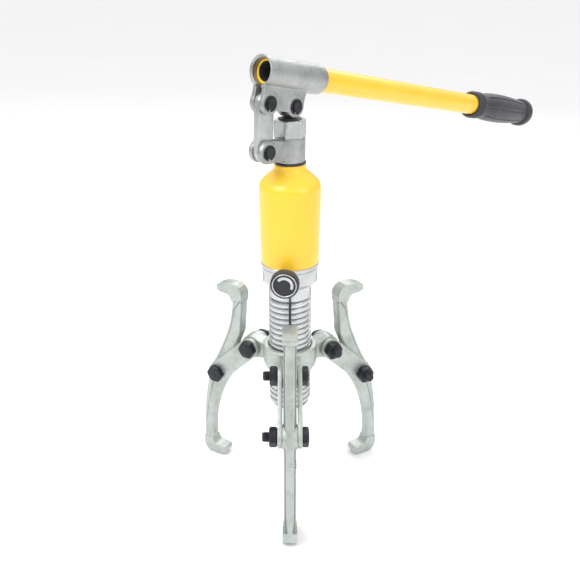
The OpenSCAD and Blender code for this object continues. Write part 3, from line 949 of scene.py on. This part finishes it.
def plate(side, letter):
    """One pull plate between the yoke's lug and the claw."""
    node = f"{side}_plate_{letter}"
    place = lug_frame(side)
    low, high = local_box(node, place)
    knee = place.inverted() @ place_of(side + "_claw_swing")
    bm = bmesh.new()
    add_prism(bm, round_plate(((0, 0), (knee.x, knee.y)), 11), low.z, high.z, place, edge=0.8, steps=3)
    obj = mesh_object(f"{side}_link_{letter}", bm)
    machined(obj, bores((0, 0, BOLT_R + 0.05), (knee.x, knee.y, BOLT_R), place=place))
    return finish_piece(obj, side + "_pull", "plated_steel", FORGED, node)


HEX = 17.0


def add_bolt(bm, place, shank_high, head_low, head_high):
    """A black hexagon bolt: head towards local -Z, threaded stub at the far end."""
    shank = [(0, head_high - 1), (BOLT_R, head_high - 1), (BOLT_R, shank_high - 12.8)]
    z = shank_high - 12.6
    while z < shank_high - 2.2:
        shank += [(BOLT_R, z), (BOLT_R - 0.55, z + 0.45), (BOLT_R - 0.55, z + 0.65), (BOLT_R, z + 1.1)]
        z += 1.5
    shank += [(BOLT_R - 0.7, shank_high - 0.9), (BOLT_R - 1.2, shank_high - 0.1), (0, shank_high)]
    add_turned(bm, shank, place, segments=48)
    turned_over = place @ Matrix.Translation((0, 0, head_high)) @ Matrix.Rotation(math.pi, 4, "X")
    depth = head_high - head_low
    rows = [(0, 0), (8.0, 0), (HEX / 2 / math.cos(TURN / 12), 0.35)]
    rows += [row for row in hex_profile(HEX, 0.4, depth - 0.3, chamfer=1.3)[2:-1]]
    rows += [(6.6, depth - 0.25), (5.6, depth), (0, depth)]
    add_turned(bm, rows, turned_over, columns=hex_columns(12), limit=hexagon(HEX))


def add_nut(bm, place, low, high):
    rows = hex_profile(HEX, low, high, chamfer=1.3, both=True, hole=BOLT_R)
    add_turned(bm, rows, place, columns=hex_columns(12), limit=hexagon(HEX))


def fasteners():
    """Six black bolts and nuts; the lug ones belong to the yoke and the others to their plates."""
    out = []
    turn = Matrix.Rotation(math.radians(30), 4, "Z")
    bolts, nuts = bmesh.new(), bmesh.new()
    for side in SIDES:
        place = claw_frame(side)
        low, high = local_box(side + "_claw_bolt", place)
        nut_low, nut_high = local_box(side + "_claw_nut", place)
        head = low.z + 6.4
        bolt_bm, nut_bm = bmesh.new(), bmesh.new()
        add_bolt(bolt_bm, place @ turn, high.z, low.z, head)
        add_nut(nut_bm, place @ turn, nut_low.z, nut_high.z)
        out.append(finish_piece(mesh_object(side + "_bolt", bolt_bm), side + "_pull", "black_steel", OXIDE,
                                side + "_claw_bolt"))
        out.append(finish_piece(mesh_object(side + "_nut", nut_bm), side + "_pull", "black_steel", OXIDE,
                                side + "_claw_nut"))
        place = lug_frame(side)
        add_bolt(bolts, place @ turn, high.z, low.z - 0.1, head - 0.1)
        add_nut(nuts, place @ turn, nut_low.z + 0.1, nut_high.z + 0.1)
    out.append(finish_piece(mesh_object("yoke_bolts", bolts), "yoke_body", "black_steel", OXIDE, "lug_bolts"))
    out.append(finish_piece(mesh_object("yoke_nuts", nuts), "yoke_body", "black_steel", OXIDE, "lug_nuts"))
    return out


def claw_outline():
    """The claw about its pin: X away from the ram, Y up."""
    waist, back, heel, inside, elbow = (-13.5, 59.5), (13.5, 0.5), (26.4, -98), (13.9, -97.5), (-10.2, -7)
    points = [(-32.4, 97.7), (-31.2, 102.2), (-28, 106)]
    points += bow((-23.5, 108.9), (-3.8, 106.4), 1) + [(-1.2, 105.2), (-0.5, 102.6), (-1, 99.2), (-4.4, 97.4)]
    points += bow((-12.5, 96.8), (-18.4, 91), -1.4, 5) + bow((-18.4, 91), waist, -0.9, 5)
    points += bow(waist, back, -1.5) + bow(back, heel, 4.1, 10)
    points += [heel, (26.2, -105), (24.2, -111), (18.5, -116), (7.8, -116), (-0.4, -114.3), (-3.2, -111),
               (-3.4, -106.6), (-0.8, -104.7)]
    points += bow((8.4, -104.7), inside, -1.6, 4) + bow(inside, elbow, -7.6, 12)
    points += bow(elbow, (-28.4, 52.7), -2.4)
    return points + [(-28.4, 52.7), (-30.8, 80)]


def within(points, low, high):
    """The part of an outline between two heights."""
    kept = []
    count = len(points)
    for i in range(count):
        a, b = points[i], points[(i + 1) % count]
        if low <= a[1] <= high:
            kept.append(a)
        for level in (low, high):
            if (a[1] - level) * (b[1] - level) < 0:
                t = (level - a[1]) / (b[1] - a[1])
                kept.append((a[0] + (b[0] - a[0]) * t, level))
    return kept


def claw(side):
    """A drop-forged claw: a creased arm, full-width hooks and a pin boss."""
    place = claw_frame(side)
    half = local_box(side + "_claw", place)[1].z - 0.05
    bm = bmesh.new()
    outline = claw_outline()
    add_arm(bm, outline, half - 1.5, place)
    for centre, lean in (((-12.5, 33), -28), ((12, -24), 8)):
        add_marks(bm, centre, lean, half - 1.5, place)
    add_prism(bm, arc((0, 0), BOSS_R, 0, 354, 60), -half, half, place)
    for low, high in ((90, 120), (-130, -97)):
        add_prism(bm, within(outline, low, high), -half, half, place, edge=1.8, steps=3)
    obj = cast_object(side + "_jaw", bm, grain=0.5, melt=2, cored=bores((0, 0, BOLT_R + 0.3), place=place))
    # paints shade along the crease and at the steps of hook and foot
    paint_crease_shade(obj, outline, place)
    return finish_piece(obj, side + "_arm", "forged_green_zinc", FORGED, side + "_claw")


def add_marks(bm, centre, lean, face, place):
    """Three short raised bars on the bolt-head side, as a forging mark without letters."""
    turn = place @ Matrix.Translation((centre[0], centre[1], 0)) @ Matrix.Rotation(math.radians(lean), 4, "Z")
    for i in range(3):
        bar = [(-1.5, -0.55 + 3 * (i - 1)), (1.5, -0.55 + 3 * (i - 1)), (1.5, 0.55 + 3 * (i - 1)),
               (-1.5, 0.55 + 3 * (i - 1))]
        add_prism(bm, bar, -face - 0.7, -face + 3, turn)


def crossings(outline, level):
    """Where the outline's two sides are at a height."""
    found = []
    for a, b in zip(outline, outline[1:] + outline[:1]):
        if (a[1] - level) * (b[1] - level) <= 0 and abs(a[1] - b[1]) > 1e-9:
            found.append(a[0] + (b[0] - a[0]) * (level - a[1]) / (b[1] - a[1]))
    return min(found), max(found)


def eased(stops, place):
    """A value between stops given as (place, value), places falling."""
    for (a, first), (b, last) in zip(stops, stops[1:]):
        if a >= place >= b:
            return first + (last - first) * (a - place) / (a - b)
    return stops[-1][1]


# the arm runs between these heights about the pin, and the hook and foot go on beyond them
HOOK_FROM, FOOT_FROM = 92, -97
BOSS_R = 12
# how far across the arm its crease runs, from the inner edge, at each height about the pin
CREASE = [(92, 0.12), (82, 0.6), (68, 0.76), (14, 0.78), (-12, 0.6), (-60, 0.6), (-84, 0.84), (-97, 0.95)]


def paint_crease_shade(obj, outline, place):
    """Marks painted shade: a dark line along the crease and at the steps of hook and foot."""
    crease_width, step_width, clear_of_boss, near_side = 0.75, 0.8, 0.4, 2.5
    lines = {}
    for level in range(FOOT_FROM, HOOK_FROM + 1):
        inner, outer = crossings(outline, level)
        lines[level] = inner + (outer - inner) * eased(CREASE, level) + 0.5
    back = place.inverted()
    crease_shade = obj.data.attributes.new("crease_shade", "FLOAT", "POINT")
    for i, corner in enumerate(obj.data.vertices):
        at = back @ corner.co
        value = 0.0
        on_arm = FOOT_FROM < at.y < HOOK_FROM and math.hypot(at.x, at.y) > BOSS_R + clear_of_boss
        if abs(at.z) > near_side and on_arm:
            off = (at.x - lines[round(at.y)]) / crease_width
            step = min(abs(at.y - 90), abs(at.y - FOOT_FROM)) / step_width
            value = max(math.exp(-off * off), 0.6 * math.exp(-step * step))
        crease_shade.data[i].value = 0.75 * value


def add_arm(bm, outline, half, place):
    """The arm between hook and foot: full inside its crease, then falling to a narrower outer edge."""
    start, end, count = HOOK_FROM, FOOT_FROM, 54
    rings = []
    for i in range(count + 1):
        level = start + (end - start) * i / count
        inner, outer = crossings(outline, level)
        crease = inner + (outer - inner) * eased(CREASE, level)
        full = half + eased([(92, 0.7), (8, 0.6), (-8, 0), (-97, 0)], level)
        side = [(inner, full - 1.3), (inner + 1.1, full - 0.2), (crease - 0.2, full),
                (crease + 0.4, full - 1.3), (outer - 0.5, full - 2.4), (outer, full - 3.0)]
        section = side + [(x, -z) for x, z in reversed(side)]
        rings.append([bm.verts.new(place @ Vector((x, level, z))) for x, z in section])
    for first, second in zip(rings, rings[1:]):
        for k in range(len(first)):
            m = (k + 1) % len(first)
            bm.faces.new((first[k], first[m], second[m], second[k]))
    bm.faces.new(rings[0])
    bm.faces.new(list(reversed(rings[-1])))


threaded_sleeve()
cylinder_block()
ram_nose()
end_ring()
reservoir()
valve()
pump_body()
gland()
plunger()
link()
pins()
lever_socket()
handle()
yoke()
fasteners()
for side in SIDES:
    claw(side)
    plate(side, "a")
    plate(side, "b")

# ------------------------------------------------------------------ CAD nodes that stay


def keep(node, material):
    """Gives a CAD node that stays its procedural material."""
    obj = frame["nodes"][node]
    obj.data.materials.clear()
    obj.data.materials.append(material)


KEPT = {"ram_piston": GROUND, "piston_seal": SEAL, "return_spring": OXIDE, "delivery_tube": BRIGHT,
        "swivel_clip": OXIDE, "valve_spindle": BRIGHT, "thread_bush": TURNED}
for kept_node, kept_material in KEPT.items():
    keep(kept_node, kept_material)

# ------------------------------------------------------------------ floor, light and camera

floor_z = CAD_BOX[0][2]
bpy.ops.mesh.primitive_plane_add(size=16, location=(0, 4, floor_z))
floor = bpy.context.object
floor.name = "floor"
paper = Nodes("paper", (0.93, 0.93, 0.93), 0.0, 0.75)
paper.color(paper.ramp(paper.noise(3, 2), 0.3, 0.7, (0.925, 0.925, 0.93), (0.94, 0.94, 0.945)))
floor.data.materials.append(paper.material)

world = bpy.data.worlds.new("studio")
bpy.context.scene.world = world
world.use_nodes = True
sky = world.node_tree.nodes["Background"]
sky.inputs["Strength"].default_value = 1.04
direction = world.node_tree.nodes.new("ShaderNodeTexCoord")
parts = world.node_tree.nodes.new("ShaderNodeSeparateXYZ")
height = world.node_tree.nodes.new("ShaderNodeMapRange")
height.inputs["From Min"].default_value = -1.0
shade = world.node_tree.nodes.new("ShaderNodeValToRGB")
shade.color_ramp.elements[0].color = (0.5, 0.5, 0.5, 1)
shade.color_ramp.elements[1].color = (1.0, 1.0, 1.0, 1)
for position, tone in ((0.46, 0.30), (0.56, 0.34), (0.68, 0.95)):
    shade.color_ramp.elements.new(position).color = (tone, tone, tone * 1.01, 1)
world.node_tree.links.new(direction.outputs["Generated"], parts.inputs["Vector"])
world.node_tree.links.new(parts.outputs["Z"], height.inputs["Value"])
world.node_tree.links.new(height.outputs["Result"], shade.inputs["Fac"])
# the metal reflects the graded sky, and the camera sees a pale one
ray = world.node_tree.nodes.new("ShaderNodeLightPath")
seen = world.node_tree.nodes.new("ShaderNodeMix")
seen.data_type = "RGBA"
seen.inputs["B"].default_value = (0.96, 0.96, 0.96, 1)
world.node_tree.links.new(ray.outputs["Is Camera Ray"], seen.inputs["Factor"])
world.node_tree.links.new(shade.outputs["Color"], seen.inputs["A"])
world.node_tree.links.new(seen.outputs["Result"], sky.inputs["Color"])
bpy.context.scene.view_settings.view_transform = "Standard"


def area_light(name, location, aim, size, power, color=(1, 1, 1)):
    data = bpy.data.lights.new(name, "AREA")
    data.shape = "RECTANGLE"
    data.size, data.size_y = size
    data.energy = power
    data.color = color
    lamp = bpy.data.objects.new(name, data)
    lamp.location = location
    lamp.rotation_euler = (Vector(aim) - Vector(location)).to_track_quat("-Z", "Y").to_euler()
    bpy.context.scene.collection.objects.link(lamp)


area_light("key", (-0.9, -0.7, 1.5), (0, 0, 0.1), (0.9, 0.9), 16)
area_light("fill", (1.1, -0.9, 0.8), (0, 0, 0.1), (1.0, 1.0), 6)
area_light("rim", (0.3, 1.2, 1.2), (0, 0, 0.2), (1.2, 0.7), 8)

# the photo looks down at the puller by this angle, from this far
LOOK_DOWN = math.radians(25)
DISTANCE = 0.743
AIM = Vector((0, 0, 0.140))
camera_data = bpy.data.cameras.new("camera")
camera_data.sensor_width = 36
camera_data.lens = 36 * DISTANCE / 0.580
camera = bpy.data.objects.new("camera", camera_data)
camera.location = AIM + DISTANCE * Vector((0, -math.cos(LOOK_DOWN), math.sin(LOOK_DOWN)))
camera.rotation_euler = (math.pi / 2 - LOOK_DOWN, 0, 0)
bpy.context.scene.collection.objects.link(camera)
bpy.context.scene.camera = camera
